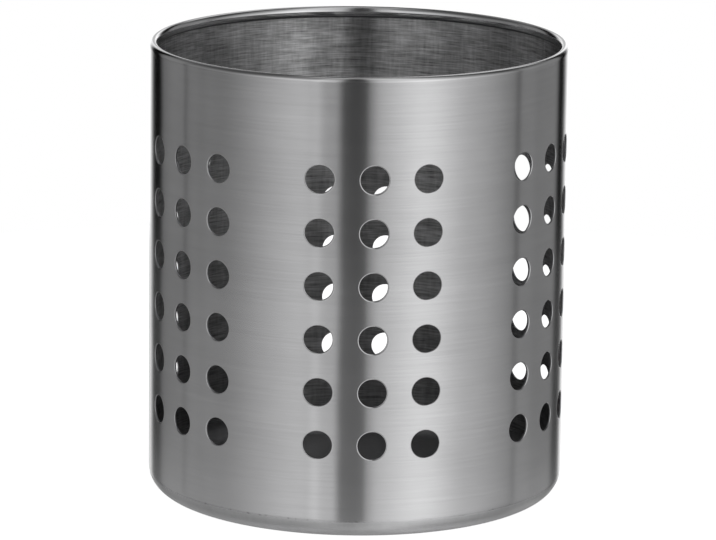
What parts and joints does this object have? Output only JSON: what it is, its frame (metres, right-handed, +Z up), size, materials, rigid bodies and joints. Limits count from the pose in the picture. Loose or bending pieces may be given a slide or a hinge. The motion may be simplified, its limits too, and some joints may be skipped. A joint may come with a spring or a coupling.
{
  "type": "cutlery drainer",
  "caption": "Round brushed steel cup that stands on its base and holds cutlery upright, with groups of punched drain holes round its wall and a rolled rim.",
  "frame": {"origin": "centre of the cup's axis at the plane of the standing ring", "axes": "+Z up along the cup's axis to the open rim; -Y is the side that the first hole group faces; the side weld is at +X"},
  "size_m": [0.12, 0.12, 0.1315],
  "materials": {
    "brushed_wall": "fine brushing round the cup, rim polished",
    "side_weld_bead": "weld ground flush and brushed over",
    "satin_base": "satin, pressed",
    "base_weld_bead": "weld ground flush, slightly uneven"
  },
  "bodies": {
    "root": {"side_wall": "brushed_wall", "side_seam_weld": "side_weld_bead", "base_pan": "satin_base", "base_weld": "base_weld_bead"}
  },
  "joints": []
}
